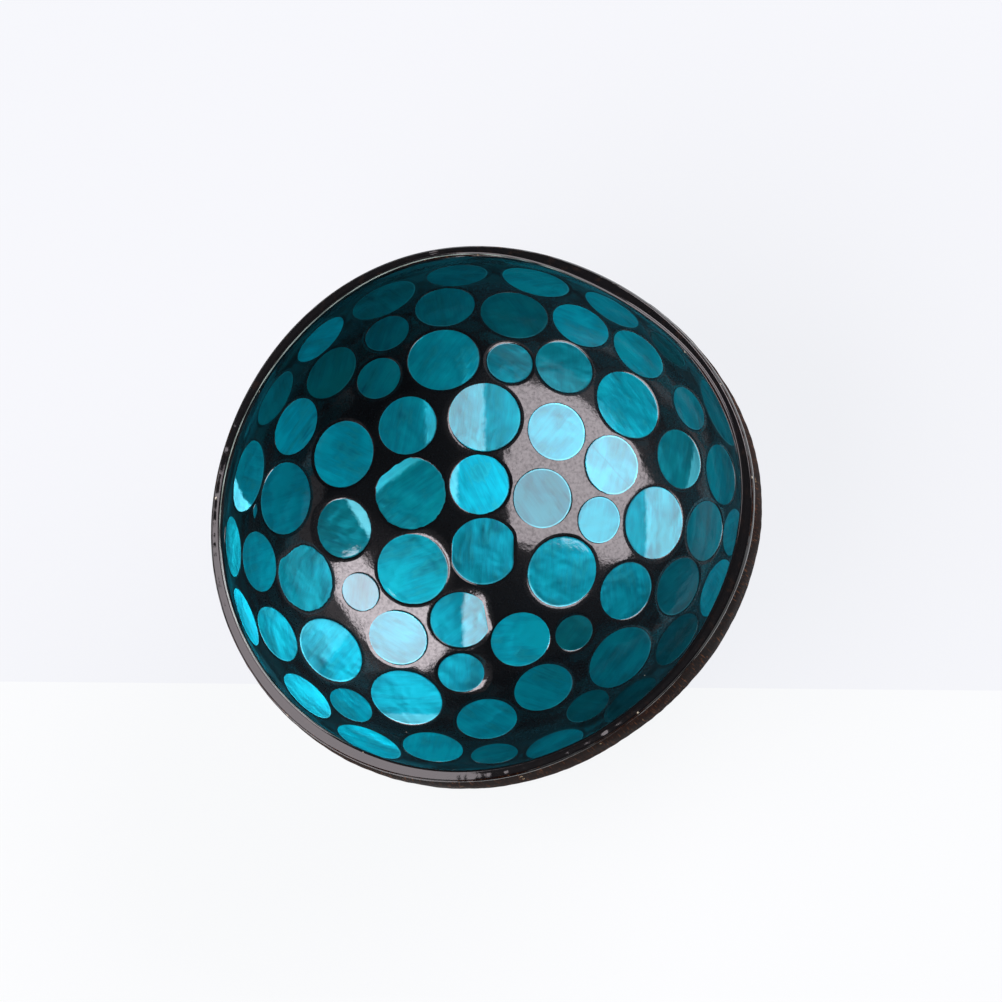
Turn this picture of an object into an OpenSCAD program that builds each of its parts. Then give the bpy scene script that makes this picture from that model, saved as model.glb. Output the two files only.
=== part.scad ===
// Coconut shell bowl: half a nut, sawn level, lacquered black inside and inlaid with
// thin round discs of dyed mother-of-pearl.
// The origin is the middle of the sanded base, on the surface that the bowl stands on. +Z is up.

/* [Nut] */
// Outside width of the shell at its widest level, its soft lobes left out
shell_w = 130; // [127:1:150]
// Outside height of the whole nut, pole to pole, before it is sawn and sanded
nut_h = 115.5; // [112:0.5:130]
// Height of the sawn edge above the widest level
lip_rise = 9; // [5:0.5:15]
// Depth sanded off the lower pole, which makes the flat base
base_sanding = 2.3; // [1:0.1:2.6]
// Thickness of the shell at its sawn edge
lip_wall = 2.2; // [1.8:0.1:4]
// Thickness of the shell at its pole, before sanding
pole_wall = 4.3; // [4.2:0.1:6]
// Share by which the nut is longer one way across than the other
oval_share = 0.018; // [0:0.002:0.03]
// Turn of that longer way about the axis, in degrees
oval_turn = 32; // [0:1:90]
// Share by which the three lobes of the nut stand out
lobe_share = 0.015; // [0:0.002:0.03]
// Turn of the first lobe, in degrees
lobe_turn = -2; // [-60:1:60]
// Share of a fainter wave that comes four times round
wave_share = 0.005; // [0:0.0005:0.01]
// Turn of that wave, in degrees
wave_turn = 11; // [-45:1:45]

/* [Lacquer] */
// Thickness of the clear sealer between the shell and the black lacquer
sealer_t = 0.05; // [0.02:0.01:0.1]
// Thickness of the black lacquer inside the bowl
ground_t = 0.35; // [0.25:0.05:0.8]
// Thickness of the black lacquer on the sawn edge
lip_coat_t = 0.35; // [0.2:0.05:0.8]

/* [Mother-of-pearl] */
// Least distance left between two discs along the wall, which sets how large they can be
disc_gap = 0.7; // [0.5:0.1:3]
// Diameter of the broad discs, as a share of the large ones
broad_share = 0.94; // [0.9:0.01:0.96]
// Diameter of the medium discs, as a share of the large ones
medium_share = 0.83; // [0.7:0.01:0.88]
// Diameter of the small discs, as a share of the large ones
small_share = 0.64; // [0.58:0.01:0.68]
// Diameter of the smallest discs, as a share of the large ones
tiny_share = 0.545; // [0.5:0.005:0.57]
// Thickness of the discs
pearl_t = 0.5; // [0.3:0.05:0.8]
// Thickness of the lacquer bed under the edge of a disc
bed_t = 0.35; // [0.3:0.05:0.6]
// How much flatter than the bowl a disc is bent, as a share of the bowl's radius
flatter_share = 1.3; // [1.1:0.05:1.4]
// Length of the loose chip between two discs
chip_l = 3.7; // [3:0.1:4.5]
// Width of that chip
chip_w = 1.6; // [1:0.1:2]

/* [Hidden] */
// Places of the discs, row by row: turn about the axis in degrees, climb from the middle
// of the floor to the lip as a share, and the disc's diameter as a share of a large one
large_share = 1;
floor_disc_shares = [
    [188, 0.075, broad_share], [120, 0.165, medium_share], [60, 0.125, medium_share],
    [330, 0.125, large_share], [234, 0.215, medium_share], [193, 0.245, large_share],
    [153, 0.275, large_share], [131, 0.385, medium_share], [102, 0.31, large_share],
    [68, 0.285, medium_share], [37, 0.3, medium_share], [15, 0.205, small_share],
    [198, 0.385, tiny_share],
];
low_wall_disc_shares = [
    [109, 0.49, large_share], [89, 0.445, small_share], [71, 0.46, medium_share],
    [47, 0.455, large_share], [23, 0.48, medium_share], [6, 0.35, large_share],
    [336, 0.3, medium_share], [304, 0.26, tiny_share], [274, 0.225, medium_share],
    [249, 0.335, small_share], [220, 0.355, medium_share], [213, 0.54, large_share],
    [191, 0.535, broad_share], [175, 0.415, medium_share], [152, 0.48, broad_share],
    [128, 0.54, small_share],
];
high_wall_disc_shares = [
    [103, 0.66, medium_share], [86, 0.605, broad_share], [68, 0.62, medium_share],
    [51, 0.63, medium_share], [32, 0.615, small_share], [0, 0.52, medium_share],
    [343, 0.455, medium_share], [313, 0.42, large_share], [296, 0.505, small_share],
    [283, 0.375, medium_share], [264, 0.465, medium_share], [238, 0.475, large_share],
    [229, 0.615, small_share], [205, 0.7, medium_share], [187, 0.705, medium_share],
    [170, 0.615, large_share], [152, 0.67, medium_share], [136, 0.675, medium_share],
    [119, 0.65, small_share],
];
rim_disc_shares = [
    [97, 0.815, medium_share], [79, 0.785, broad_share], [60, 0.775, medium_share],
    [44, 0.765, small_share], [25, 0.775, large_share], [13, 0.625, medium_share],
    [358, 0.66, small_share], [344, 0.63, medium_share], [328, 0.56, medium_share],
    [308, 0.61, medium_share], [285, 0.635, medium_share], [269, 0.62, small_share],
    [253, 0.62, medium_share], [240, 0.735, broad_share], [222, 0.745, medium_share],
    [201, 0.865, medium_share], [185, 0.875, medium_share], [168, 0.815, large_share],
    [149, 0.84, medium_share], [132, 0.84, medium_share], [115, 0.805, broad_share],
];
// Place of the chip, and its lean away from the nearest disc's edge in degrees
chip_shares = [175, 0.725];
chip_lean = 15;

// Sides of the rim, going round from the +X side, each a quarter of it
rim_sides = ["right", "back", "left", "front"];
quarter = 360 / len(rim_sides);

// Steps round the bowl and up its wall
round_steps = 72;
rows = 16;
// Short step for the slope of the wall, as a share of the climb, and the same in degrees
slope_step_share = 0.01;
slope_step = 1;
// Overrun of cutting shapes past the face they cut
overrun = 1;
$fn = 64;

outer_half_w = shell_w / 2;
outer_half_h = nut_h / 2;
bare_half_w = outer_half_w - lip_wall;
bare_half_h = outer_half_h - pole_wall;
sealed_half_w = bare_half_w - sealer_t;
sealed_half_h = bare_half_h - sealer_t;
ground_half_w = sealed_half_w - ground_t;
ground_half_h = sealed_half_h - ground_t;
ground_r = (ground_half_w + ground_half_h) / 2;
bend_r = ground_r * flatter_share;

widest_z = outer_half_h - base_sanding;
lip_z = widest_z + lip_rise;
sealed_z = lip_z - lip_coat_t;
sawn_z = sealed_z - sealer_t;

shell_colour = "#3d2b23";
lacquer_colour = "#15191c";
pearl_colours = ["#0b7f97", "#0a6f8a", "#11a3ba", "#0a5f6e"];

disc_shares = concat(
    floor_disc_shares, low_wall_disc_shares, high_wall_disc_shares, rim_disc_shares
);
disc_centres = [for (place = disc_shares) ground_point(place[0], place[1])];
// The widest a large disc can be, so that every two discs keep their distance
large_disc_w = min([
    for (i = [1:len(disc_shares) - 1], j = [0:i - 1])
        2 * (norm(disc_centres[i] - disc_centres[j]) - disc_gap)
            / (disc_shares[i][2] + disc_shares[j][2])
]);

function disc_name(course, i) = str(course, "_disc_", i < 10 ? "0" : "", i);

// Share by which the nut stands out at a turn. It fades to none at the poles.
function swell(turn, angle) =
    1 + pow(sin(angle), 2) * (
        oval_share * cos(2 * (turn - oval_turn))
        + lobe_share * cos(3 * (turn - lobe_turn))
        + wave_share * cos(4 * (turn - wave_turn))
    );

// A point of one of the nut's nested surfaces. The angle is 0 at the lower pole.
function nut_point(turn, angle, half_w, half_h) =
    let (r = half_w * swell(turn, angle) * sin(angle))
    [r * cos(turn), r * sin(turn), widest_z - half_h * cos(angle)];

// The angle at which such a surface reaches a height
function angle_at(z, half_h) = acos((widest_z - z) / half_h);

function ring(angle, half_w, half_h) =
    [for (i = [0:round_steps - 1]) nut_point(360 * i / round_steps, angle, half_w, half_h)];

// Rings of one surface, from the first row above the pole up to a height
function rings_up(half_w, half_h, top_z) =
    [for (k = [1:rows]) ring(angle_at(top_z, half_h) * k / rows, half_w, half_h)];

function rings_down(half_w, half_h, top_z) =
    let (up = rings_up(half_w, half_h, top_z)) [for (k = [rows - 1:-1:0]) up[k]];

function ground_point(turn, climb) =
    nut_point(turn, climb * angle_at(lip_z, ground_half_h), ground_half_w, ground_half_h);

// The way that the lacquered wall faces, into the bowl
function ground_facing(turn, climb) =
    cross(
        ground_point(turn, climb + slope_step_share) - ground_point(turn, climb - slope_step_share),
        ground_point(turn + slope_step, climb) - ground_point(turn - slope_step, climb)
    );

// Depth of a cap of a ball, by the cap's radius
function cap_depth(cap_r, ball_r) = ball_r - sqrt(pow(ball_r, 2) - pow(cap_r, 2));

// A closed skin over rings of equal length, with a point at each end
module skin(first, rings, last) {
    n = len(rings[0]);
    count = len(rings);
    tip = 1 + n * count;
    points = concat([first], [for (r = rings) each r], [last]);
    polyhedron(points, concat(
        [for (i = [0:n - 1]) [0, 1 + i, 1 + (i + 1) % n]],
        [for (k = [0:count - 2], i = [0:n - 1]) let (a = 1 + k * n, j = (i + 1) % n)
            each [[a + i, a + n + i, a + n + j], [a + i, a + n + j, a + j]]],
        [for (i = [0:n - 1]) let (a = 1 + (count - 1) * n) [tip, a + (i + 1) % n, a + i]]
    ));
}

// The half nut: brown outside, sawn level at the lip and sanded flat under the base
module coconut_shell() {
    block = shell_w + nut_h;
    color(shell_colour) difference() {
        skin(
            nut_point(0, 0, outer_half_w, outer_half_h),
            concat(
                rings_up(outer_half_w, outer_half_h, sawn_z),
                rings_down(bare_half_w, bare_half_h, sawn_z)
            ),
            nut_point(0, 0, bare_half_w, bare_half_h)
        );
        translate([-block / 2, -block / 2, -base_sanding - overrun])
            cube([block, block, base_sanding + overrun]);
    }
}

// One coat of black lacquer over the whole inside, turned out over the sawn edge
module ground_lacquer() {
    color(lacquer_colour) skin(
        nut_point(0, 0, sealed_half_w, sealed_half_h),
        concat(
            rings_up(sealed_half_w, sealed_half_h, sealed_z),
            [
                ring(angle_at(sealed_z, outer_half_h), outer_half_w, outer_half_h),
                ring(angle_at(lip_z, outer_half_h), outer_half_w, outer_half_h),
            ],
            rings_down(ground_half_w, ground_half_h, lip_z)
        ),
        nut_point(0, 0, ground_half_w, ground_half_h)
    );
}

// Puts a flat-lying shape on the lacquered wall, facing into the bowl
module on_wall(turn, climb) {
    facing = ground_facing(turn, climb);
    translate(ground_point(turn, climb))
        rotate([0, acos(facing.z / norm(facing)), atan2(facing.y, facing.x)])
            children();
}

// A thin round plate, bent a little less than the bowl, on its bed
module wafer(d) {
    lift = bed_t + cap_depth(d / 2, ground_r) - cap_depth(d / 2, bend_r);
    intersection() {
        translate([0, 0, lift - overrun])
            cylinder(d = d, h = cap_depth(d / 2, bend_r) + pearl_t + 2 * overrun);
        translate([0, 0, lift + bend_r]) difference() {
            sphere(r = bend_r);
            sphere(r = bend_r - pearl_t);
        }
    }
}

// One disc of dyed mother-of-pearl
module pearl_disc(place, i) {
    color(pearl_colours[i % len(pearl_colours)])
        on_wall(place[0], place[1]) wafer(place[2] * large_disc_w);
}

// A splinter left beside the discs, pointed at both ends
module pearl_chip() {
    arc_r = (pow(chip_l, 2) + pow(chip_w, 2)) / (4 * chip_w);
    color(pearl_colours[0])
        on_wall(chip_shares[0], chip_shares[1])
            rotate([0, 0, 90 + chip_lean])
                translate([0, 0, bed_t]) intersection() {
                    translate([0, arc_r - chip_w / 2, 0]) cylinder(r = arc_r, h = pearl_t);
                    translate([0, chip_w / 2 - arc_r, 0]) cylinder(r = arc_r, h = pearl_t);
                }
}

// The discs of the top course that lie on one side of the rim
module rim_discs(side) {
    for (i = [0:len(rim_disc_shares) - 1])
        if (floor((rim_disc_shares[i][0] + quarter / 2) % 360 / quarter) == side)
            pearl_disc(rim_disc_shares[i], i);
}

// The discs of one course, each by its own name
module course(name, shares) {
    for (i = [0:len(shares) - 1])
        pearl_disc(shares[i], i);
}

coconut_shell();
ground_lacquer();
pearl_chip();
course("floor", floor_disc_shares);
course("low_wall", low_wall_disc_shares);
course("high_wall", high_wall_disc_shares);
for (i = [0:len(rim_sides) - 1])
    rim_discs(i);
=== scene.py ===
"""Looks of the coconut shell bowl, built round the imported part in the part's own frame, in metres."""
import math

import bpy
import numpy as np
from mathutils import Matrix, Vector


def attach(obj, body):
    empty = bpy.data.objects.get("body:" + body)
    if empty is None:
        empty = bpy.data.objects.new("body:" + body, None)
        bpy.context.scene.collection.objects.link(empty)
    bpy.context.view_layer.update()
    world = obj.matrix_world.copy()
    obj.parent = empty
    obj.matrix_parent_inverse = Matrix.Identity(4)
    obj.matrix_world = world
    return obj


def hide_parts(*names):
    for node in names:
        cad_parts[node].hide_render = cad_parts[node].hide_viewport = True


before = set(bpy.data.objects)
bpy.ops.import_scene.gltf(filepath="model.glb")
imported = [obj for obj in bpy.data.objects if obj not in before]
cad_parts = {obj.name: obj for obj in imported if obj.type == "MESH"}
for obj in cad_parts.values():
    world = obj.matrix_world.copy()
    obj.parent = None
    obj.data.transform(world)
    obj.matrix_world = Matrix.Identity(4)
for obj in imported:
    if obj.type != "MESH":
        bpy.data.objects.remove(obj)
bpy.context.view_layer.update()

# The view is the photograph's: down into the bowl, 12 degrees off its axis, from the front
# right. A long lens from two metres away shows hardly any perspective.
MM = 0.001
nut_middle = Vector((0, 0, 55.45 * MM))
camera_tilt = math.radians(12.08)
camera_turn = math.radians(318.84)
camera_away = 2047.7 * MM


def heading(turn, rise):
    """The direction at a turn about the bowl's axis and a rise above the horizon."""
    return Vector((math.cos(rise) * math.cos(turn), math.cos(rise) * math.sin(turn), math.sin(rise)))


gaze = heading(camera_turn, math.pi / 2 - camera_tilt)
picture_right = (-gaze).cross(Vector((0, 1, 0))).normalized()
picture_up = picture_right.cross(-gaze)
camera = bpy.data.objects.new("camera", bpy.data.cameras.new("camera"))
camera.data.sensor_width = 36
camera.data.lens = 308.65
camera.data.shift_x = 0.0185
camera.data.shift_y = 0.0164
camera.matrix_world = Matrix.Translation(nut_middle + gaze * camera_away) @ Matrix(
    (picture_right, picture_up, gaze)
).transposed().to_4x4()
bpy.context.scene.collection.objects.link(camera)
bpy.context.scene.camera = camera
bpy.context.scene.view_settings.view_transform = "Standard"


# The soft boxes stand where the lacquer of the real bowl mirrors them: a large one to the
# front left and a lower one to the back right. The room is dim.
lamp_away = 0.9


def soft_box(name, turn, rise, roll, width, length, watts):
    """One soft box, sized in metres, facing the bowl. Gives the way to it."""
    away = heading(math.radians(turn), math.radians(rise))
    side = Vector((0, 0, 1)).cross(away).normalized()
    lamp = bpy.data.objects.new(name, bpy.data.lights.new(name, "AREA"))
    lamp.data.shape = "RECTANGLE"
    lamp.data.size = width
    lamp.data.size_y = length
    lamp.data.energy = watts
    lamp.matrix_world = (
        Matrix.Translation(nut_middle + away * lamp_away)
        @ Matrix((side, away.cross(side), away)).transposed().to_4x4()
        @ Matrix.Rotation(math.radians(roll), 4, "Z")
    )
    lamp.data.color = (1, 0.9, 0.95)
    bpy.context.scene.collection.objects.link(lamp)
    return away


to_lamps = [
    soft_box("soft_box_left", 212.2, 46.0, -39.9, 1.235, 0.973, 25.5),
    soft_box("soft_box_right", 43.1, 27.6, 12.5, 0.844, 0.66, 18.5),
]
room = bpy.data.worlds.new("dim_room")
room.use_nodes = True
room.node_tree.nodes["Background"].inputs["Color"].default_value = (0.9, 0.95, 1, 1)
room.node_tree.nodes["Background"].inputs["Strength"].default_value = 0.035
bpy.context.scene.world = room


# The bowl stands on white board. A second sheet starts behind it, a shade cooler, and the
# seam between them shows faintly beside the bowl.
def linear(hex_colour, alpha=1.0):
    """A colour written as sRGB hex, turned linear."""
    parts = [int(hex_colour[i : i + 2], 16) / 255 for i in (1, 3, 5)]
    return [c / 12.92 if c <= 0.04045 else ((c + 0.055) / 1.055) ** 2.4 for c in parts] + [alpha]


def add(tree, kind, inputs=(), stops=(), **settings):
    """One shader node with its settings and links. Gives its outputs."""
    made = tree.nodes.new("ShaderNode" + kind)
    for key, value in settings.items():
        setattr(made, key, value)
    for socket, value in dict(inputs).items():
        if isinstance(value, bpy.types.NodeSocket):
            tree.links.new(value, made.inputs[socket])
        else:
            made.inputs[socket].default_value = value
    for i, (place, colour) in enumerate(stops):
        if i > 1:
            made.color_ramp.elements.new(place)
        made.color_ramp.elements[i].position = place
        made.color_ramp.elements[i].color = linear(colour)
    return made.outputs


def material(name):
    """A new material and its node tree, with the plain shader that it starts with."""
    made = bpy.data.materials.new(name)
    made.use_nodes = True
    return made, made.node_tree, made.node_tree.nodes["Principled BSDF"]


def make_piece(name, points, faces, materials, picks=None, marks=()):
    """A mesh object from points in mm, with smooth faces, material picks and point marks."""
    mesh = bpy.data.meshes.new(name)
    mesh.from_pydata((np.asarray(points, float) * MM).tolist(), [], faces)
    for made in materials:
        mesh.materials.append(made)
    mesh.polygons.foreach_set("use_smooth", [True] * len(faces))
    if picks is not None:
        mesh.polygons.foreach_set("material_index", picks)
    for mark, values in dict(marks).items():
        layer = mesh.attributes.new(mark, "FLOAT_VECTOR", "POINT")
        layer.data.foreach_set("vector", np.asarray(values, float).ravel())
    mesh.update()
    made = bpy.data.objects.new(name, mesh)
    bpy.context.scene.collection.objects.link(made)
    return made


floor_half = 4000
seam_left = 78
seam_right = -146
own_white = 0.96
own_white_share = 0.94
seam = [(floor_half, seam_right, 0), (-floor_half, seam_left, 0)]
front_corners = [(-floor_half, -floor_half, 0), (floor_half, -floor_half, 0)] + seam
back_corners = seam[::-1] + [(floor_half, floor_half, 0), (-floor_half, floor_half, 0)]
for name, colour, corners in (
    ("floor_front", "#F8FAFB", front_corners),
    ("floor_back", "#F2F4F8", back_corners),
):
    # Matt white board. Seen straight on or in a gloss it shows mostly its own even white,
    # and the rest takes the lamps' light and the bowl's shadow.
    board, tree, shader = material("matt_white_board_" + name)
    shader.inputs["Base Color"].default_value = linear(colour)
    shader.inputs["Roughness"].default_value = 0.9
    shader.inputs["Specular IOR Level"].default_value = 0.1
    seen = add(tree, "LightPath")
    direct = add(tree, "Math", {0: seen["Is Camera Ray"], 1: seen["Is Glossy Ray"]}, operation="MAXIMUM")[0]
    direct = add(tree, "Math", {0: direct, 1: seen["Is Transmission Ray"]}, operation="MAXIMUM")[0]
    even = add(tree, "Emission", {"Color": linear(colour), "Strength": own_white})[0]
    part = add(tree, "Math", {0: direct, 1: own_white_share}, operation="MULTIPLY")[0]
    mixed = add(tree, "MixShader", {0: part, 1: shader.outputs[0], 2: even})[0]
    tree.links.new(mixed, tree.nodes["Material Output"].inputs["Surface"])
    make_piece(name, corners, [(0, 1, 2, 3)], [board])

# The half nut: a coconut's hard brown shell, sawn level, scraped and sanded outside, then
# polished. Fibre marks run from pole to pole and three faint ridges mark the nut's lobes.
# Sizes are in mm.
widest_z = 55.45
outer_half_w = 65
outer_half_h = 57.75
lip_z = 64.45
sawn_z = 64.05
bare_half_w = 62.8
bare_half_h = 53.45
ridge_turns = (-0.07, 2.02, 4.12)
ridge_height = 0.12
ridge_sharpness = 14
wear = 0.1
base_round = 0.012
base_shares = (0.3, 0.6, 0.85, 0.95, 0.985)
base_fibre = -20
fibre_length = 64
rows_of_wear = 110
wear_fades_in = 12


def swell(turn, angle):
    """How far the nut stands out at a turn, as a share. It fades to none at the poles."""
    return 1 + np.sin(angle) ** 2 * (
        0.018 * np.cos(2 * (turn - math.radians(32)))
        + 0.015 * np.cos(3 * (turn + math.radians(2)))
        + 0.005 * np.cos(4 * (turn - math.radians(11)))
    )


def nut_point(turn, angle, half_w, half_h):
    """A point of one of the nut's nested surfaces. The angle is 0 at the lower pole."""
    reach = half_w * swell(turn, angle) * np.sin(angle)
    return np.stack([reach * np.cos(turn), reach * np.sin(turn), widest_z - half_h * np.cos(angle)], -1)


def facing_out_of(turn, angle, half_w, half_h):
    """The way such a surface faces, towards the inside of the nut."""
    angle = np.maximum(angle, 0.02)
    step = 0.001
    up = nut_point(turn, angle + step, half_w, half_h) - nut_point(turn, angle - step, half_w, half_h)
    along = nut_point(turn + step, angle, half_w, half_h) - nut_point(turn - step, angle, half_w, half_h)
    facing = np.cross(up, along)
    return facing / np.linalg.norm(facing, axis=-1, keepdims=True)


def angle_at(z, half_h):
    """The angle at which a surface reaches a height."""
    return np.arccos(np.clip((widest_z - z) / half_h, -1, 1))


def ripple(points, size, seed):
    """Soft random waves of about one size in mm, mostly between -1 and 1, fixed by the seed."""
    draw = np.random.default_rng(seed)
    ways = draw.normal(size=(12, 3))
    ways *= 2 * math.pi / size / np.linalg.norm(ways, axis=1, keepdims=True)
    starts = draw.uniform(0, 2 * math.pi, 12)
    return sum(np.sin(np.asarray(points) @ way + start) for way, start in zip(ways, starts)) / 4


def ripples(points, *kinds):
    """Ripples of several kinds added up, each with its height and size in mm and its seed."""
    return sum(height * ripple(points, size, seed) for height, size, seed in kinds)


def closed_skin(first, rings, last):
    """Points and faces of a skin over rings of equal length, with a point at each end."""
    count, across = rings.shape[:2]
    points = np.vstack([[first], rings.reshape(-1, 3), [last]])
    faces = [(0, 1 + (i + 1) % across, 1 + i) for i in range(across)]
    for row in range(count - 1):
        low = 1 + row * across
        high = low + across
        faces += [
            (low + i, low + (i + 1) % across, high + (i + 1) % across, high + i) for i in range(across)
        ]
    tip = 1 + across * count
    faces += [(tip, tip - across + i, tip - across + (i + 1) % across) for i in range(across)]
    return points, faces


round_steps = 576
turns = np.linspace(0, 2 * math.pi, round_steps, endpoint=False)


def fibre_ring(along):
    """Marks of one ring for the fibre patterns: round the nut and along it, in mm."""
    return np.stack([outer_half_w * np.cos(turns), outer_half_w * np.sin(turns), 0 * turns + along], -1)


base_angle = angle_at(0, outer_half_h)
top_angle = angle_at(sawn_z, outer_half_h)
base_edge = nut_point(turns, np.full(round_steps, base_angle), outer_half_w, outer_half_h)
shell_rings = [base_edge * [share, share, 1] for share in base_shares]
fibre_marks = [fibre_ring(base_fibre)] * len(base_shares)
for share in np.linspace(0, 1, rows_of_wear):
    angle = base_angle + base_round + (top_angle - base_angle - base_round) * share
    angles = np.full(round_steps, angle)
    ring = nut_point(turns, angles, outer_half_w, outer_half_h)
    inward = facing_out_of(turns, angles, outer_half_w, outer_half_h)
    mark = fibre_ring(fibre_length * angle)
    ridge = 0
    for centre in ridge_turns:
        off = (turns - centre + math.pi) % (2 * math.pi) - math.pi
        ridge = ridge + np.exp(-((off * ridge_sharpness) ** 2))
    worn = ripples(ring, (0.10, 26, 3), (0.05, 9, 4)) + ripples(mark * [1, 1, 0.12], (0.035, 2.6, 5))
    height = ridge_height * ridge * math.sin(math.pi * share) ** 0.5 + worn - wear
    # The wear fades out towards the sanded base
    shell_rings.append(ring - inward * (height * min(1, share * wear_fades_in))[:, None])
    fibre_marks.append(mark)
for share in np.linspace(1, 0.04, 26):
    angles = np.full(round_steps, angle_at(sawn_z, bare_half_h) * share)
    shell_rings.append(nut_point(turns, angles, bare_half_w, bare_half_h))
    fibre_marks.append(fibre_marks[-1])
points, faces = closed_skin((0, 0, 0), np.array(shell_rings), (0, 0, widest_z - bare_half_h))
marks = np.vstack([[(0, 0, base_fibre)], np.array(fibre_marks).reshape(-1, 3), [(0, 0, 0)]])


def flecks(tree, places, spacing, reach, rarity, uneven=False):
    """The mask of flecks scattered over a surface, each reaching over a share of its cell."""
    cells = add(tree, "TexVoronoi", {"Vector": places, "Scale": 1 / spacing})
    cell = add(tree, "SeparateColor", {0: cells["Color"]})
    if uneven:
        reach = add(tree, "Math", {0: cell[1], 1: reach}, operation="MULTIPLY")[0]
    here = add(tree, "Math", {0: cells["Distance"], 1: reach}, operation="LESS_THAN")[0]
    chosen = add(tree, "Math", {0: cell[0], 1: rarity}, operation="GREATER_THAN")[0]
    return add(tree, "Math", {0: here, 1: chosen}, operation="MULTIPLY")[0]


# Polished shell: dark brown strands with thin paler hairs, tan flecks where bundles of fibre
# were cut through, and a low waxy shine. Widths and spacings are in mm, and the strands and
# hairs are drawn about twice as coarse as real ones, so that they show.
strand_width = 0.625
hair_width = 0.3125
fuzz_width = 0.2857
cloud_size = 26.32
fleck_spacing = 1.1111
fray_size = 0.7143
polished_shell, tree, shader = material("polished_coconut_shell")
fibre = add(tree, "Attribute", attribute_name="fibre")["Vector"]
lie = add(tree, "TexCoord")["Object"]
drawn = add(tree, "Mapping", {"Vector": fibre, "Scale": (1, 1, 0.09)})[0]
strands = add(
    tree, "TexNoise", {"Vector": drawn, "Scale": 1 / strand_width, "Detail": 6, "Roughness": 0.62}
)[0]
clouds = add(
    tree, "TexNoise", {"Vector": lie, "Scale": 1 / (cloud_size * MM), "Detail": 4, "Roughness": 0.55}
)[0]
brown = add(
    tree,
    "ValToRGB",
    {"Fac": strands},
    stops=[(0.28, "#050202"), (0.72, "#3A1E12"), (0.5, "#110704"), (0.6, "#1F0F09")],
)[0]
patches = add(tree, "ValToRGB", {"Fac": clouds}, stops=[(0.35, "#8F8480"), (0.7, "#FFFFFF")])[0]
mottled = add(tree, "Mix", {0: 1.0, 6: brown, 7: patches}, data_type="RGBA", blend_type="MULTIPLY")[2]
finely_drawn = add(tree, "Mapping", {"Vector": fibre, "Scale": (1, 1, 0.045)})[0]
hairs = add(
    tree,
    "TexNoise",
    {"Vector": finely_drawn, "Scale": 1 / hair_width, "Detail": 3, "Roughness": 0.55, "Distortion": 0.3},
)[0]
hair_here = add(
    tree, "MapRange", {"Value": hairs, "From Min": 0.58, "From Max": 0.72, "To Min": 0, "To Max": 0.7}
)[0]
haired = add(tree, "Mix", {0: hair_here, 6: mottled, 7: linear("#6B4426")}, data_type="RGBA")[2]
frayed = add(tree, "TexNoise", {"Vector": fibre, "Scale": 1 / fray_size, "Detail": 3})["Color"]
fray = add(tree, "VectorMath", {0: frayed, 3: 1.6}, operation="SCALE")[0]
fleck_lie = add(tree, "VectorMath", {0: fibre, 1: fray})[0]
fleck_lie = add(tree, "Mapping", {"Vector": fleck_lie, "Scale": (1, 1, 0.5)})[0]
fleck_mask = flecks(tree, fleck_lie, fleck_spacing, 0.34, 0.95, uneven=True)
fleck_hue = add(tree, "ValToRGB", {"Fac": strands}, stops=[(0.42, "#94876A"), (0.58, "#5E4029")])[0]
flecked = add(tree, "Mix", {0: fleck_mask, 6: haired, 7: fleck_hue}, data_type="RGBA")[2]
shine = add(
    tree, "MapRange", {"Value": clouds, "From Min": 0.3, "From Max": 0.7, "To Min": 0.5, "To Max": 0.7}
)[0]
fuzz = add(
    tree, "TexNoise", {"Vector": drawn, "Scale": 1 / fuzz_width, "Detail": 5, "Roughness": 0.7}
)[0]
relief = add(tree, "Bump", {"Height": fuzz, "Strength": 0.25, "Distance": 0.2 * MM})[0]
for socket, value in (("Base Color", flecked), ("Roughness", shine), ("Normal", relief)):
    tree.links.new(value, shader.inputs[socket])
shader.inputs["Specular IOR Level"].default_value = 0.015

nut = make_piece("coconut_shell_polished", points, faces, [polished_shell], marks={"fibre": marks})
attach(nut, "root")
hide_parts("coconut_shell")

# The lacquer inside: several black coats flooded over the wall and up over the sawn edge,
# cut back by hand. The coats swell round the discs' beds, so its mirror is a little wavy,
# and they pooled a little towards the nut's longer way. Sizes are in mm.
ground_half_w = 62.4
ground_half_h = 53.05
sealed_half_w = 62.75
sealed_half_h = 53.4
sealed_z = 64.1
bed = 0.66
thinning_share = 0.05
pooled_lean = 0.078
pooled_turn = 105
wall_top_share = 0.93
lip_width = 2.6
lip_angle = angle_at(lip_z, ground_half_h)


def flood(climb):
    """How far the coats build up on the wall. They thin out towards the sawn edge."""
    return bed * np.clip((1 - climb) / thinning_share, 0, 1) ** 0.7


def wall_point(turn, angle, height, waves=1.0):
    """A point at a height over the lacquered wall, with the coats' own waves or without."""
    spot = nut_point(turn, angle, ground_half_w, ground_half_h)
    rise = height + flood(angle / lip_angle)
    wavy = ripples(spot, (0.045, 17, 11), (0.012, 5.5, 12))
    rise = rise + waves * wavy * np.clip((1 - angle / lip_angle) / 0.06, 0.15, 1)
    return spot + facing_out_of(turn, angle, ground_half_w, ground_half_h) * rise[..., None]


def pooled(turn, angle):
    """How the coats' mirror leans up where they pooled, low on the wall."""
    climb = angle / lip_angle
    low_down = np.clip((climb - 0.2) / 0.16, 0, 1)
    lean = pooled_lean * low_down * (0.5 - 0.5 * np.cos(2 * (turn - math.radians(pooled_turn))))
    return lean[..., None] * np.array((0, 0, 1))


def waves_round(turn):
    """Waves round the bowl, up to six to a turn, whose sum is a smooth closed curve."""
    pairs = [wave(count * turn) for count in range(1, 6) for wave in (np.cos, np.sin)]
    return np.array([1 + 0 * turn] + pairs + [np.cos(6 * turn)])


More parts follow.
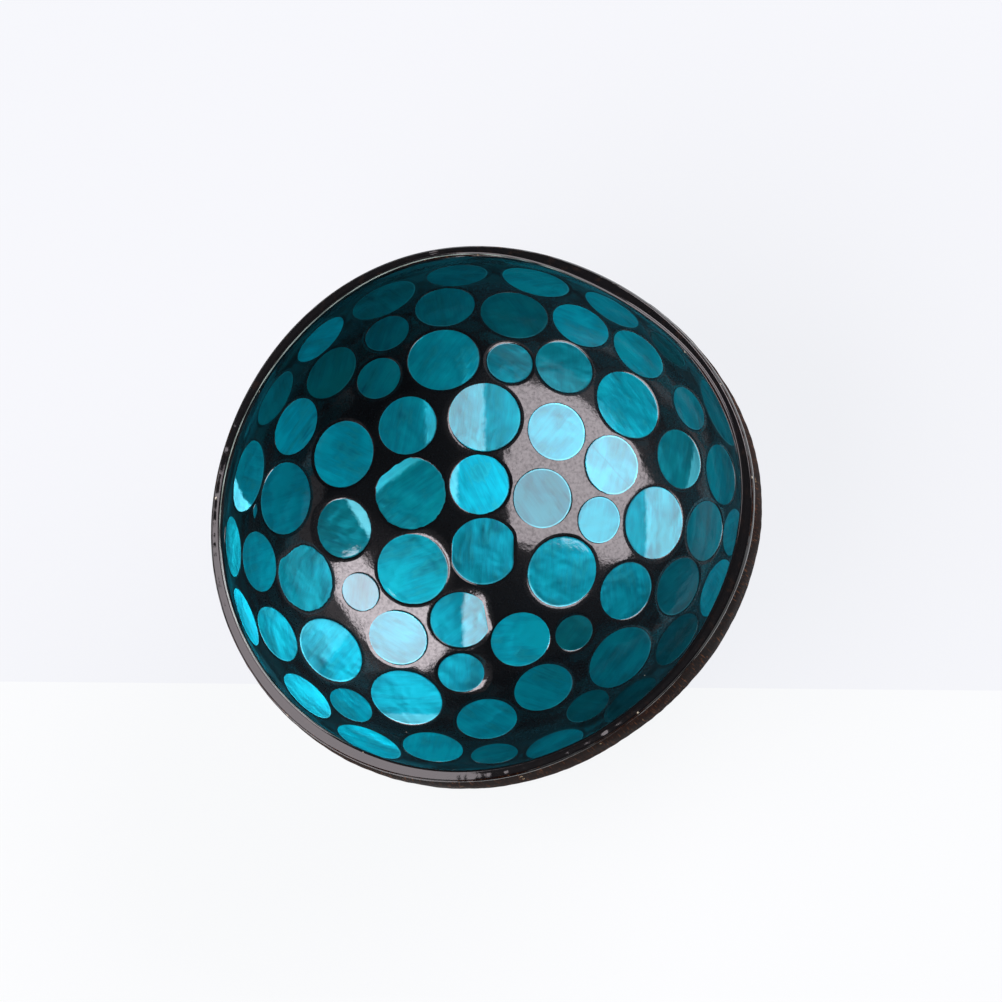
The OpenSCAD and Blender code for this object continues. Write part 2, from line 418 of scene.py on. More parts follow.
# The sawn edge is uneven in width. A smooth curve joins its widths at twelve turns.
lip_widths = [3.0, 2.2, 3.1, 2.1, 2.5, 2.3, 2.2, 2.6, 2.9, 2.6, 2.4, 2.8]
twelfths = np.arange(12) * math.pi / 6
edge_width = np.linalg.solve(waves_round(twelfths).T, np.array(lip_widths)) @ waves_round(turns)
rings = []
leans = [(0, 0, 0)]
for climb in np.concatenate([np.linspace(0.006, wall_top_share, 170), np.linspace(0.934, 0.985, 22)]):
    angles = np.full(round_steps, climb * lip_angle)
    leans += pooled(turns, angles).tolist()
    ring = wall_point(turns, angles, 0 * turns)
    fade = max(0, (climb - wall_top_share) / (1 - wall_top_share))
    out = ring * [1, 1, 0]
    out /= np.linalg.norm(out, axis=1, keepdims=True)
    rings.append(ring + out * ((lip_width - edge_width) * fade * fade)[:, None])
wall_rows = len(rings)

# Outwards over the sawn edge: a bead of coat with a painted highlight along its inner side, a crown
# that falls away at the lower left, a rounded corner, and a skirt brushed down over the shell,
# deepest at the back right. Each bead row gives its share of the painted highlight, then its inset and
# drop; insets, drops and stands are in mm.
bead_rows = (
    (0, 0.00, 1.20), (0, 0.04, 0.84), (0, 0.10, 0.56), (1, 0.18, 0.36), (0.5, 0.28, 0.22),
    (0, 0.40, 0.125), (0, 0.54, 0.045), (0, 0.66, 0.0), (0, 0.78, 0.04), (0, 0.90, 0.09), (0, 1.00, 0.13),
)
crown_shares = (0.52, 0.6, 0.7, 0.82)
crown_drop = 0.14
fall_from_share = 0.42
corner_rows = ((0.30, 0.02), (0.16, 0.10), (0.05, 0.24), (-0.03, 0.42), (-0.06, 0.62))
corner_drop = 0.12
skirt_rows = ((0.3, 0.07), (0.65, 0.07), (1.0, 0.06), (1.03, -0.12))
skirt_top = 0.6
down = np.array([(0, 0, -1)])


def part_round(way, gain, more):
    """How much each turn of the rim takes part in what lies round one way, in degrees."""
    return np.clip(gain * np.cos(turns - math.radians(way)) + more, 0, 1)


inner = nut_point(turns, np.full(round_steps, lip_angle), ground_half_w, ground_half_h)
outer = nut_point(turns, np.full(round_steps, angle_at(lip_z, outer_half_h)), outer_half_w, outer_half_h)
out = (outer - inner) / np.linalg.norm(outer - inner, axis=1, keepdims=True)
inner = outer - out * edge_width[:, None]
sawn = ripples(outer, (0.03, 4, 21), (0.02, 1.7, 22))
fall = 0.03 + 0.30 * part_round(250, 3, -1.9) + 0.03 * ripple(outer, 30, 23)
brush = 0.9 + ripples(outer, (0.22, 11, 24), (0.08, 3, 25)) + 1.5 * part_round(38, 1.5, -0.4)
# A painted highlight along the bead's inner side, strongest 150 degrees round the rim
painted_highlight_round = part_round(150, 1.6, 0.1) * (0.6 + 0.4 * ripple(outer, 6, 26))
painted_highlight_rows = [np.zeros((round_steps, 3))] * wall_rows
for painted_highlight, inset, drop in bead_rows:
    rings.append(inner + out * inset + down * drop)
    painted_highlight_rows.append(np.stack([painted_highlight * painted_highlight_round, 0 * painted_highlight_round, 0 * painted_highlight_round], -1))
for share in crown_shares:
    spot = inner + out * (edge_width * share)[:, None]
    drops = crown_drop + fall * max(0, share - fall_from_share) + sawn * 0.6
    rings.append(spot + down * drops[:, None])
for inset, drop in corner_rows:
    drops = fall * 0.55 + corner_drop + drop + sawn
    rings.append(outer - out * inset + down * drops[:, None])
for part, stand in skirt_rows:
    angles = angle_at(lip_z - skirt_top - (fall + brush - 0.5) * part, outer_half_h)
    skirt = nut_point(turns, angles, outer_half_w, outer_half_h)
    inward = facing_out_of(turns, angles, outer_half_w, outer_half_h)
    rings.append(skirt - inward * stand)
edge_rows = len(rings) - wall_rows
sealed_top = angle_at(sealed_z, sealed_half_h)
for share in np.linspace(1, 0.03, 24):
    rings.append(nut_point(turns, np.full(round_steps, sealed_top * share), sealed_half_w, sealed_half_h))
middle = wall_point(np.zeros(1), np.zeros(1), np.zeros(1))[0]
points, faces = closed_skin(middle, np.array(rings), (0, 0, widest_z - sealed_half_h))
faces = [face[::-1] for face in faces]

# Black lacquer: near black with a trace of teal, under a hard clear gloss coat that mirrors
# the soft boxes. Fine brush drag and orange peel fray the edges of what it mirrors, and a
# few nibs of dust sit in it. Widths and spacings are in mm, and each pattern's detail goes
# down to a tenth of its size or less.
depth_size = 22.22
drag_width = 2.381
peel_size = 6.667
nib_spacing = 3.846
mottle_size = 0.7692
black_lacquer, tree, shader = material("black_gloss_lacquer")
lie = add(tree, "TexCoord")["Object"]
depth = add(tree, "TexNoise", {"Vector": lie, "Scale": 1 / (depth_size * MM), "Detail": 3})[0]
shade = add(tree, "ValToRGB", {"Fac": depth}, stops=[(0.35, "#07090B"), (0.7, "#0D1114")])[0]
drag = add(
    tree, "TexNoise", {"Vector": lie, "Scale": 1 / (drag_width * MM), "Detail": 5, "Roughness": 0.62}
)[0]
peel = add(
    tree, "TexNoise", {"Vector": lie, "Scale": 1 / (peel_size * MM), "Detail": 3, "Roughness": 0.5}
)[0]
both = add(tree, "Math", {0: drag, 1: peel}, operation="ADD")[0]
uneven = add(tree, "Bump", {"Height": both, "Strength": 0.3, "Distance": 0.12 * MM})[0]
lean = add(tree, "Attribute", attribute_name="pooled")["Vector"]
leaning = add(tree, "VectorMath", {0: uneven, 1: lean})[0]
mirror = add(tree, "VectorMath", {0: leaning}, operation="NORMALIZE")[0]
nibs = flecks(tree, lie, nib_spacing * MM, 0.05, 0.9)
dusty = add(tree, "Mix", {0: nibs, 6: shade, 7: linear("#9C9A90")}, data_type="RGBA")[2]
mottle = add(
    tree, "TexNoise", {"Vector": lie, "Scale": 1 / (mottle_size * MM), "Detail": 3, "Roughness": 0.6}
)[0]
gloss = add(
    tree, "MapRange", {"Value": mottle, "From Min": 0.3, "From Max": 0.6, "To Min": 0.55, "To Max": 1}
)[0]
for socket, value in (
    ("Base Color", dusty),
    ("Coat Normal", mirror),
    ("Normal", mirror),
    ("Coat Weight", gloss),
):
    tree.links.new(value, shader.inputs[socket])
shader.inputs["Roughness"].default_value = 0.3
shader.inputs["Specular IOR Level"].default_value = 0.1
shader.inputs["Coat Roughness"].default_value = 0.03
shader.inputs["Coat IOR"].default_value = 1.58

# The same lacquer brushed over the sawn edge: duller than on the wall, the shell's brown worn
# through in places, with a painted highlight along the inner corner, and with pale grains of dust in it.
worn_size = 2.381
dust_spacing = 1.429
bristle_width = 3.333
black_edge, tree, shader = material("brushed_black_edge")
lie = add(tree, "TexCoord")["Object"]
worn = add(
    tree, "TexNoise", {"Vector": lie, "Scale": 1 / (worn_size * MM), "Detail": 4, "Roughness": 0.6}
)[0]
shade = add(tree, "ValToRGB", {"Fac": worn}, stops=[(0.55, "#030304"), (0.8, "#1A110C")])[0]
dust = flecks(tree, lie, dust_spacing * MM, 0.22, 0.975)
dusty = add(tree, "Mix", {0: dust, 6: shade, 7: linear("#8A8776")}, data_type="RGBA")[2]
brushed = add(
    tree, "TexNoise", {"Vector": lie, "Scale": 1 / (bristle_width * MM), "Detail": 5, "Roughness": 0.65}
)[0]
# The painted highlight along the inner corner, in pale grey-green, frayed by the brush marks
painted_highlight = add(tree, "SeparateXYZ", {0: add(tree, "Attribute", attribute_name="painted_highlight")["Vector"]})[0]
painted_highlight = add(tree, "Math", {0: painted_highlight, 1: brushed, 2: painted_highlight}, operation="MULTIPLY_ADD", use_clamp=True)[0]
pale = add(tree, "Mix", {0: painted_highlight, 6: dusty, 7: linear("#8FA29A")}, data_type="RGBA")[2]
uneven = add(tree, "Bump", {"Height": brushed, "Strength": 0.25, "Distance": 0.07 * MM})[0]
for socket, value in (("Base Color", pale), ("Coat Normal", uneven), ("Normal", uneven)):
    tree.links.new(value, shader.inputs[socket])
shader.inputs["Roughness"].default_value = 0.5
shader.inputs["Specular IOR Level"].default_value = 0.05
shader.inputs["Coat Weight"].default_value = 0.7
shader.inputs["Coat Roughness"].default_value = 0.05
shader.inputs["Coat IOR"].default_value = 1.5

picks = [0] * (round_steps * wall_rows) + [1] * (round_steps * edge_rows)
picks += [0] * (len(faces) - len(picks))
leans += [(0, 0, 0)] * (len(points) - len(leans))
painted_highlight_rows = [(0, 0, 0)] + np.array(painted_highlight_rows).reshape(-1, 3).tolist()
painted_highlight_rows += [(0, 0, 0)] * (len(points) - len(painted_highlight_rows))
marks = {"pooled": leans, "painted_highlight": painted_highlight_rows}
lacquer = make_piece("black_lacquer_ground", points, faces, [black_lacquer, black_edge], picks, marks)
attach(lacquer, "root")
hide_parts("ground_lacquer")

# The discs: mother-of-pearl dyed teal, punched round and trimmed by hand where they crowd,
# bedded on the lacquer, flooded with clear coats and rubbed back until nearly flush. Each
# has its own grain, depth of dye, tilt and chips. Black lacquer draws up round its edge.
wall_bow = 57.7
flattened = 1.3
proud = 0.15
underside = -0.38
collar = 1.1
unround = 0.006
nibble = 0.05
fray = 0.012
uneven_tilt = 0.005
disc_steps = 72
disc_turns = np.linspace(0, 2 * math.pi, disc_steps, endpoint=False)

# A disc's rows from its middle to its edge and out over the collar: the share of its radius,
# the reach beyond it and, from the edge on, how deep the row has sunk, in mm.
disc_rows = [(share, 0, None) for share in (0, 0.12, 0.25, 0.38, 0.5, 0.62, 0.73, 0.82, 0.89, 0.94, 0.97)]
disc_rows += [(0.98, 0, 0.006), (1, 0, 0.03)]
disc_rows += [(1, 0.05, 0.056), (1, 0.12, 0.078), (1, 0.22, 0.098), (1, 0.35, 0.116), (1, 0.5, 0.13)]
disc_rows += [(1, 0.7, 0.142), (1, 0.9, 0.149), (1, 1.0, 0.156), (1, collar, 0.18), (1, collar, 0.45)]
pearl_rows = sum(beyond == 0 for share, beyond, sunk in disc_rows) - 1


def discs_of(node):
    """The middle and radius, in mm, of each disc in a node, going round the bowl."""
    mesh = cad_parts[node].data
    seats = {}
    welded = [seats.setdefault(tuple(round(c / MM, 3) for c in v.co), len(seats)) for v in mesh.vertices]
    group = list(range(len(seats)))

    def root(i):
        while group[i] != i:
            group[i] = group[group[i]]
            i = group[i]
        return i

    for face in mesh.polygons:
        corners = [root(welded[v]) for v in face.vertices]
        for corner in corners:
            group[root(corner)] = root(corners[0])
    parts = {}
    for seat, i in seats.items():
        parts.setdefault(root(i), []).append(seat)
    found = []
    for seats_of_one in parts.values():
        cloud = np.array(seats_of_one)
        rough_middle = (cloud.min(0) + cloud.max(0)) / 2
        axes = np.linalg.svd(cloud - cloud.mean(0))[2]
        flat = (cloud - rough_middle) @ axes[:2].T
        shift = (flat.min(0) + flat.max(0)) / 2
        found.append((rough_middle + shift @ axes[:2], (flat.max(0) - flat.min(0)).mean() / 2))
    return sorted(found, key=lambda f: math.atan2(f[0][1], f[0][0]) % (2 * math.pi))


def spot_on_wall(points):
    """The turn and angle at which points near the wall stand over it."""
    turn = np.arctan2(points[..., 1], points[..., 0])
    angle = np.full(turn.shape, 1.0)
    for _ in range(4):
        reach = np.hypot(points[..., 0], points[..., 1]) / (ground_half_w * swell(turn, angle))
        angle = np.arctan2(reach, (widest_z - points[..., 2]) / ground_half_h)
    return turn, angle


def disc_edge(radius, look, seed, draw, outline):
    """How far a disc reaches each way, in mm: cut by hand, with the flats and chips of its look."""
    edge = radius * (1 + sum(
        draw.normal() * unround / k * np.cos(k * disc_turns + draw.uniform(0, 6.3))
        for k in (2, 3, 4, 5, 7, 9)
    ))
    if outline is not None:
        edge = outline(disc_turns)
    ragged = look.get("ragged", 0)
    for way, share in look.get("flats", ()):
        reach = np.cos(disc_turns - math.radians(way))
        flat = share * radius / np.maximum(reach, 0.05)
        nibbled = nibble * radius * np.abs(np.sin(5 * disc_turns + seed)) * ragged
        edge = np.where(reach > 0.05, np.minimum(edge, flat + nibbled), edge)
    edge = (np.roll(edge, 1) + 2 * edge + np.roll(edge, -1)) / 4
    return edge * (1 + ragged * fray * draw.normal(size=disc_steps))


def toward(x, y, way):
    """How far places on a disc lie towards a way in degrees, as seen in the picture."""
    return x * math.cos(math.radians(way)) + y * math.sin(math.radians(way))


def disc_mesh(middle, radius, look, seed, outline=None):
    """Points, faces, material picks and marks of one disc with its collar of lacquer."""
    draw = np.random.default_rng(seed)
    turn, angle = spot_on_wall(middle)
    facing = facing_out_of(turn, angle, ground_half_w, ground_half_h)
    side = np.array(picture_right) - facing * (facing @ np.array(picture_right))
    side /= np.linalg.norm(side)
    rise = np.cross(facing, side)
    seat = nut_point(turn, angle, ground_half_w, ground_half_h)
    edge = disc_edge(radius, look, seed, draw, outline)
    tilt = draw.normal(size=2) * uneven_tilt
    dome = (1 / wall_bow - 1 / (wall_bow * flattened)) / 2

    # Half-way directions to the lamps: layers that lean there flash
    halves = [np.array((gaze + to_lamp).normalized()) for to_lamp in to_lamps]
    to_half = max(halves, key=lambda half: half @ facing) - facing
    glow = look.get("glow", draw.uniform(0, 0.15)) * to_half
    zone_glow = look.get("zone_glow", 0) * to_half
    grain_way = look.get("grain", draw.uniform(0, 180))
    zone_way, zone_at, zone_gain = look.get("zone", (0, 3, 0))
    crack_way, crack_at = look.get("crack", (0, 9))
    green = look.get("green", draw.uniform(0, 0.35))
    edge_way, edge_least, edge_gain = look.get("edge", (draw.uniform(-150, 30), -0.4, 0.5))
    facing_lamp = edge_gain * np.clip(np.cos(disc_turns - math.radians(edge_way)) + edge_least, 0, 1)
    pool_way, pool_more = look.get("pool", (0, 0))
    pool = pool_more * np.clip(2 * np.cos(disc_turns - math.radians(pool_way)) - 0.5, 0, 1)
    uphill = draw.uniform(0.03, 0.06) * (1 + 0.5 * np.sin(3 * disc_turns + seed)) + 0.06 * pool
    outward = np.cos(disc_turns)[:, None] * side + np.sin(disc_turns)[:, None] * rise

    points, grain, looks, zones, leans = [], [], [], [], []
    for share, beyond, sunk in disc_rows:
        reach = edge * share + beyond * (1 + pool)
        x = reach * np.cos(disc_turns)
        y = reach * np.sin(disc_turns)
        flat = seat + x[:, None] * side + y[:, None] * rise
        at_turn, at_angle = spot_on_wall(flat)
        height = proud + (radius**2 - np.minimum(reach, edge) ** 2) * dome + x * tilt[0] + y * tilt[1]
        height = height + 0.006 * ripple(flat, 4.5, seed)
        waves = 0.0
        if sunk is not None:
            waves = min(1, sunk / 0.15)
            settle = min(1, sunk / 0.12)
            height = (height - sunk) * (1 - settle) + (proud - sunk) * settle
        points.append(wall_point(at_turn, at_angle, height, waves))
        here = uphill * (beyond > 0) * (1 - 0.5 * beyond / collar)
        leans.append(outward * here[:, None])
        grain.append(np.stack([toward(x, y, grain_way), toward(y, -x, grain_way), 0 * x + seed * 7.3], -1))
        # A painted highlight on the side of the cut edge that faces the lamps
        edge_glint = facing_lamp * (0.95 < share < 0.99)
        looks.append(np.stack([0 * x + look.get("tone", 1.0), 0 * x + green, edge_glint], -1))
        zone = toward(x, y, zone_way) - zone_at * radius
        crack = toward(x, y, crack_way) - crack_at * radius
        zones.append(np.stack([zone, 0 * zone + zone_gain, crack], -1))

    rings = np.array(points)
    under = wall_point(turn * np.ones(1), angle * np.ones(1), np.full(1, underside), 0)[0]
    verts, faces = closed_skin(rings[0].mean(0), rings[1:], under)
    picks = [0] * (disc_steps * pearl_rows) + [1] * (len(faces) - disc_steps * pearl_rows)
    marks = {
        name: np.vstack([rows_of[0][:1], np.array(rows_of[1:]).reshape(-1, 3), rows_of[-1][:1]])
        for name, rows_of in (("grain", grain), ("looks", looks), ("zones", zones), ("pooled", leans))
    }
    marks["glow"] = np.tile(glow, (len(verts), 1))
    marks["zone_glow"] = np.tile(zone_glow, (len(verts), 1))
    marks["pooled"] = marks["pooled"] + pooled(*spot_on_wall(np.asarray(verts)))
    marks["varnish"] = np.tile([look.get("gloss", 0.65), 0, 0], (len(verts), 1))
    mirror_way, mirror_share = look.get("mirror", (0, 0))
    marks["mirror_lean"] = marks["pooled"] + mirror_share * toward(side, rise, mirror_way)
    return verts, [face[::-1] for face in faces], picks, marks


# Dyed pearl: the dye sits in the shell's layers, so the colour runs in streaks along the
# grain from deep teal to bright cyan, and flashes where the layers face a lamp. The clear
# coats over it mirror the soft boxes. Widths and sizes of the grain are in mm.
streak_length = 20
streak_width = 2.381
leaf_length = 8.333
leaf_width = 0.909
cloud_size = 7.692
tear_size = 1.4286
ripple_size = 3.846
dyed_pearl, tree, shader = material("teal_mother_of_pearl")
grain = add(tree, "Attribute", attribute_name="grain")["Vector"]
looks = add(tree, "SeparateXYZ", {0: add(tree, "Attribute", attribute_name="looks")["Vector"]})
tone, greenness, edge_glint = looks[0], looks[1], looks[2]
zones = add(tree, "SeparateXYZ", {0: add(tree, "Attribute", attribute_name="zones")["Vector"]})
zone_place, zone_gain, crack_place = zones[0], zones[1], zones[2]
drawn = add(tree, "Mapping", {"Vector": grain, "Scale": (1 / streak_length, 1 / streak_width, 1)})[0]
streaks = add(
    tree, "TexNoise", {"Vector": drawn, "Scale": 1, "Detail": 5, "Roughness": 0.6, "Distortion": 0.12}
)[0]
cloud = add(
    tree,
    "TexNoise",
    {"Vector": grain, "Scale": 1 / cloud_size, "Detail": 2, "Roughness": 0.5, "Distortion": 0.2},
)[0]
leaves = add(tree, "Mapping", {"Vector": grain, "Scale": (1 / leaf_length, 1 / leaf_width, 1)})[0]
leaf = add(tree, "TexNoise", {"Vector": leaves, "Scale": 1, "Detail": 4, "Roughness": 0.65})[0]
layers = add(tree, "Math", {0: streaks, 1: 0.6, 2: cloud}, operation="MULTIPLY_ADD")[0]
layers = add(tree, "Math", {0: leaf, 1: 0.5, 2: layers}, operation="MULTIPLY_ADD")[0]
layer_share = add(tree, "MapRange", {"Value": layers, "From Min": 0.72, "From Max": 1.38})[0]
dye = add(
    tree,
    "ValToRGB",
    {"Fac": layer_share},
    stops=[(0, "#00728C"), (1, "#22DAE6"), (0.35, "#0095AE"), (0.7, "#00B4CB")],
)[0]
green_share = add(tree, "Math", {0: greenness, 1: cloud}, operation="MULTIPLY")[0]
greened = add(tree, "Mix", {0: green_share, 6: dye, 7: linear("#007F74")}, data_type="RGBA")[2]
depth_of_dye = add(tree, "Math", {0: tone, 1: 0.62}, operation="MULTIPLY")[0]
toned = add(tree, "VectorMath", {0: greened, 3: depth_of_dye}, operation="SCALE")[0]
toned = add(tree, "VectorMath", {0: toned, 1: (1, 1, 1)}, operation="MINIMUM")[0]

# A zone of a disc painted lighter, as a painted sheen, or darker, with a torn edge, and a crack across it
torn = add(
    tree, "TexNoise", {"Vector": grain, "Scale": 1 / tear_size, "Detail": 4, "Roughness": 0.65}
)[0]
torn_zone = add(tree, "Math", {0: streaks, 1: 1.3, 2: zone_place}, operation="MULTIPLY_ADD")[0]
torn_zone = add(tree, "Math", {0: torn, 1: 2.4, 2: torn_zone}, operation="MULTIPLY_ADD")[0]
zone_mask = add(tree, "MapRange", {"Value": torn_zone, "From Min": 1.35, "From Max": 2.35})[0]
zone_loss = add(tree, "Math", {0: zone_gain, 1: -1}, operation="MULTIPLY")[0]
painted_sheen_share = add(tree, "Math", {0: zone_mask, 1: zone_gain}, operation="MULTIPLY", use_clamp=True)[0]
zone_down = add(tree, "Math", {0: zone_mask, 1: zone_loss}, operation="MULTIPLY", use_clamp=True)[0]
part_down = add(tree, "Math", {0: zone_down, 1: 0.4}, operation="MULTIPLY")[0]
# The lighter part of a zone is a painted sheen, in pale cyan
painted_sheen = add(tree, "Mix", {0: painted_sheen_share, 6: toned, 7: linear("#66BAC6")}, data_type="RGBA")[2]
darkened = add(tree, "Mix", {0: part_down, 6: painted_sheen, 7: linear("#003A48")}, data_type="RGBA")[2]
crack_off = add(tree, "Math", {0: cloud, 1: 1.6, 2: crack_place}, operation="MULTIPLY_ADD")[0]
crack_off = add(tree, "Math", {0: crack_off}, operation="ABSOLUTE")[0]
crack_here = add(
    tree, "MapRange", {"Value": crack_off, "From Min": 0.05, "From Max": 0.3, "To Min": 0.45, "To Max": 0}
)[0]
cracked = add(tree, "Mix", {0: crack_here, 6: darkened, 7: linear("#00566B")}, data_type="RGBA")[2]
# The painted highlight on the cut edge, in pale cyan
edge_glint_share = add(tree, "Math", {0: edge_glint, 1: torn}, operation="MULTIPLY")[0]
with_edge_glint = add(tree, "Mix", {0: edge_glint_share, 6: cracked, 7: linear("#5CC4D2")}, data_type="RGBA")[2]

# The layers' own lean, which makes them flash
leafed = add(tree, "Math", {0: leaf, 1: 0.1}, operation="MULTIPLY")[0]
layered = add(tree, "Math", {0: cloud, 1: 1.4, 2: leafed}, operation="MULTIPLY_ADD")[0]
waved = add(tree, "Bump", {"Height": layered, "Strength": 0.4, "Distance": 1.2 * MM})[0]
glow = add(tree, "Attribute", attribute_name="glow")["Vector"]
zone_glow = add(tree, "Attribute", attribute_name="zone_glow")["Vector"]
zone_turned = add(tree, "VectorMath", {0: zone_glow, 3: zone_mask}, operation="SCALE")[0]
turned = add(tree, "VectorMath", {0: waved, 1: glow})[0]
turned = add(tree, "VectorMath", {0: turned, 1: zone_turned})[0]
flash = add(tree, "VectorMath", {0: turned}, operation="NORMALIZE")[0]

# The clear coats: thinner where a zone is darker, and leaning with the lacquer round the disc
lie = add(tree, "TexCoord")["Object"]
clear = add(
    tree, "TexNoise", {"Vector": lie, "Scale": 1 / (ripple_size * MM), "Detail": 4, "Roughness": 0.6}
)[0]
clear_wave = add(tree, "Bump", {"Height": clear, "Strength": 0.4, "Distance": 0.15 * MM})[0]
lean = add(tree, "Attribute", attribute_name="mirror_lean")["Vector"]
leaning = add(tree, "VectorMath", {0: clear_wave, 1: lean})[0]
mirror = add(tree, "VectorMath", {0: leaning}, operation="NORMALIZE")[0]
varnish = add(tree, "SeparateXYZ", {0: add(tree, "Attribute", attribute_name="varnish")["Vector"]})[0]
kept = add(tree, "Math", {0: 1, 1: zone_down}, operation="SUBTRACT")[0]
gloss = add(tree, "Math", {0: varnish, 1: kept}, operation="MULTIPLY")[0]
for socket, value in (
    ("Base Color", with_edge_glint),
    ("Normal", flash),
    ("Coat Normal", mirror),
    ("Coat Weight", gloss),
):
    tree.links.new(value, shader.inputs[socket])
shader.inputs["Metallic"].default_value = 0.65
shader.inputs["Roughness"].default_value = 0.42
shader.inputs["Specular IOR Level"].default_value = 0.1
shader.inputs["Coat Roughness"].default_value = 0.03
shader.inputs["Coat IOR"].default_value = 1.58

# What the photograph shows of single discs, in the order of their numbers, and of the top
# course against the clock. Ways are in degrees as seen in the picture, from the right and
# on against the clock; shares are of the disc's radius.
#   tone, green    how light the dye is, and how far it turns green
#   grain, glow    the way of the streaks, and how far the layers lean to a lamp
#   zone           way, share and gain of a part painted lighter as a painted sheen, or darker below none
#   zone_glow      how much further the layers of that part lean to the lamp
#   flats, ragged  way and share of each side cut flat, and how torn the edge is
#   crack, edge    way and share of a crack; way, least and gain of the painted highlight on the cut edge
#   pool, mirror   way and width of a wider collar; way and lean of the coat's mirror
#   gloss          how much clear coat is left on the disc
floor_looks = [
    dict(tone=0.8, grain=88, glow=0.3, flats=[(0, 0.88), (178, 0.94)], zone=(0, 0.35, -0.3)),
    dict(
        tone=1.05, grain=118, glow=0.5, zone=(180, 0.74, 0.4), zone_glow=0.3,
        ragged=0.3, gloss=0.8, pool=(180, 0.6),
    ),
    dict(tone=0.45, green=0.1, gloss=0.62, edge=(0, 1, 0.8)),
    dict(tone=0.9, grain=85, glow=0.1, edge=(230, 0, 1), pool=(250, 0.8)),
    dict(
        tone=1.1, flats=[(10, 0.86)], zone=(180, -0.1, -1), mirror=(0, 0.2),
        glow=0.2, gloss=0.5, pool=(20, 1.2),
    ),
    dict(tone=0.95, green=0.4, grain=20, glow=0.5, zone=(150, 0.35, -0.5), ragged=0.2, pool=(35, 1.6)),
    dict(
        tone=1.6, green=0.5, grain=35, glow=0.1, flats=[(125, 0.86)],
        zone=(125, 0.6, 0.15), zone_glow=0.5, ragged=0.6,
    ),
    dict(tone=1.6, grain=78, ragged=0.2, zone=(0, 0.6, 0.1), zone_glow=0.3),
    dict(
        tone=1.0, grain=84, zone=(0, 0.0, -0.9), mirror=(180, 0.16),
        glow=0.3, gloss=0.56, pool=(215, 1),
    ),
    dict(tone=0.8, gloss=0.7, edge=(0, 1, 0.8)),
    dict(tone=0.85, crack=(48, 0.05), ragged=0.4, gloss=0.85, edge=(0, 1, 0.8)),
    dict(tone=0.75, gloss=0.5, edge=(0, 1, 0.8)), dict(tone=0.6, gloss=0.85),
]
low_wall_looks = [
    dict(tone=1.25), dict(tone=0.6), dict(tone=0.52), dict(tone=0.9, pool=(100, 0.8)),
    dict(tone=0.5, green=0.5, grain=80, zone=(-12, 0.55, 0.15), zone_glow=0.35),
    dict(
        tone=0.95, grain=86, glow=0.2, zone=(180, 0.3, -0.9),
        mirror=(0, 0.2), gloss=0.56, pool=(320, 0.6),
    ),
    dict(tone=0.72), dict(tone=0.6, green=0.7), dict(tone=1.6, glow=0.1, pool=(225, 1)),
    dict(tone=0.72, grain=90, glow=0.4, zone=(-30, 0.3, -0.5), pool=(0, 1.4)),
    dict(tone=0.85, gloss=0.62, edge=(0, 1, 0.8)),
    dict(tone=0.85, grain=60, glow=0.65, zone=(150, -0.1, 0.1), edge=(230, 0.2, 1), pool=(218, 1)),
    dict(tone=0.85, grain=70, glow=0.3, flats=[(128, 0.86)], ragged=0.7, pool=(150, 0.5)),
    dict(tone=0.78, green=0.5, zone=(35, 0.6, 0.5), zone_glow=0.5, ragged=0.5, pool=(190, 1.5)),
    dict(tone=1.9, glow=0.05), dict(tone=1.1, green=0.5),
]
high_wall_looks = [
    dict(tone=0.6), dict(tone=0.45, green=0.5), dict(tone=1.0), dict(tone=0.85),
    dict(tone=0.55), dict(tone=0.5), dict(tone=0.32), dict(tone=0.62),
    dict(tone=0.38, green=0.5), dict(tone=1.0), dict(tone=0.98),
    dict(tone=0.75, grain=12, glow=0.65, zone=(-80, 0.6, 0.35)), dict(tone=1.3, glow=0.25),
    dict(tone=0.95, glow=0.62), dict(tone=1.4, glow=0.12), dict(tone=1.02),
    dict(tone=2.0, glow=0.12), dict(tone=0.75, green=0.8), dict(tone=0.6),
]
rim_right_looks = [
    dict(tone=0.5), dict(tone=0.4), dict(tone=0.13, green=0.8), dict(tone=0.22),
    dict(tone=0.78), dict(tone=0.55),
]
rim_back_looks = [
    dict(tone=0.85), dict(tone=0.8), dict(tone=0.42), dict(tone=0.62, green=0.5),
    dict(tone=1.9),
]
rim_left_looks = [
    dict(tone=0.95, green=0.6),
    dict(tone=1.0, glow=0.4, zone=(215, 0.5, 0.3), zone_glow=0.4),
    dict(tone=1.05, glow=0.62), dict(tone=1.15, glow=0.7),
    dict(tone=0.92, glow=0.72, grain=140),
]
rim_front_looks = [
    dict(tone=1.6, glow=0.42), dict(tone=1.4), dict(tone=0.66), dict(tone=0.68),
    dict(tone=0.15),
]
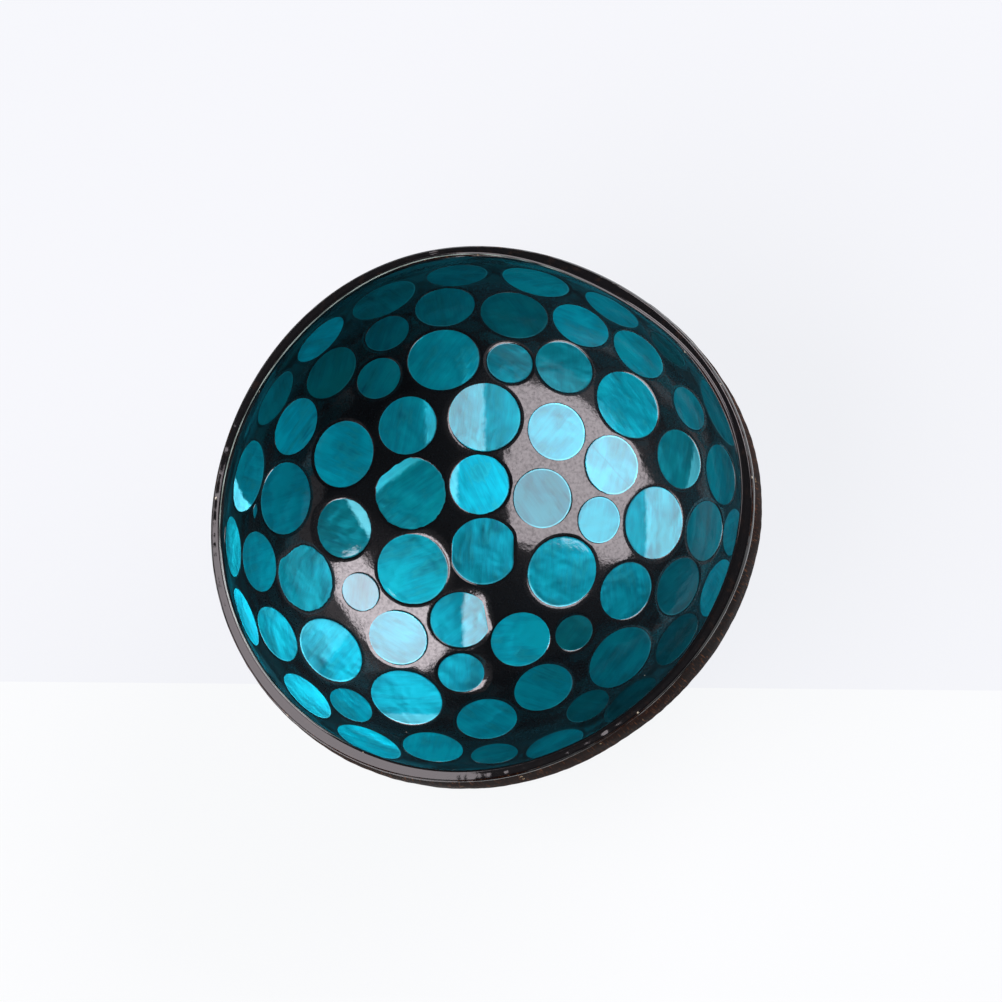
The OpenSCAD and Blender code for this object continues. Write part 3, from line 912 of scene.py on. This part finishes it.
disc_looks = {
    "rim_discs_right": rim_right_looks,
    "rim_discs_back": rim_back_looks,
    "rim_discs_left": rim_left_looks,
    "rim_discs_front": rim_front_looks,
}
for stem, looks_of_stem in (
    ("floor_disc_", floor_looks),
    ("low_wall_disc_", low_wall_looks),
    ("high_wall_disc_", high_wall_looks),
):
    for number, look in enumerate(looks_of_stem, 1):
        disc_looks[f"{stem}{number:02}"] = [look]
seed = 100
for node in sorted(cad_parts):
    if "disc" not in node:
        continue
    gathered = []
    for (middle, radius), look in zip(discs_of(node), disc_looks[node]):
        seed += 1
        gathered.append(disc_mesh(middle, radius, look, seed))
    points, faces, picks = [], [], []
    marks = {name: [] for name in gathered[0][3]}
    for verts, sides, side_picks, side_marks in gathered:
        faces += [tuple(i + len(points) for i in face) for face in sides]
        points += verts.tolist()
        picks += side_picks
        for name, values in side_marks.items():
            marks[name] += values.tolist()
    disc = make_piece(node + "_pearl", points, faces, [dyed_pearl, black_lacquer], picks, marks)
    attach(disc, "root")
    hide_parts(node)


# A splinter of pearl, left over from punching the discs, lies between two of the top course
# at the left. It is pointed at both ends and bedded under the same coats. Sizes are in mm.
splinter_length = 3.7
splinter_width = 1.6
splinter_way = 80
splinter_reach = 1.2


def splinter_edge(ways):
    """How far a pointed splinter reaches each way, in mm."""
    bow = (splinter_length**2 + splinter_width**2) / (4 * splinter_width)
    off = bow - splinter_width / 2
    across = np.sin(ways - math.radians(splinter_way))
    along = np.cos(ways - math.radians(splinter_way))
    return -off * np.abs(across) + np.sqrt(bow**2 - (off * along) ** 2)


cloud = np.array([v.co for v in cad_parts["pearl_chip"].data.vertices]) / MM
splinter_middle = (cloud.min(0) + cloud.max(0)) / 2
splinter_look = dict(tone=1.1, grain=splinter_way)
points, faces, picks, marks = disc_mesh(
    splinter_middle, splinter_reach, splinter_look, 7, splinter_edge
)
chip = make_piece("pearl_splinter", points, faces, [dyed_pearl, black_lacquer], picks, marks)
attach(chip, "root")
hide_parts("pearl_chip")
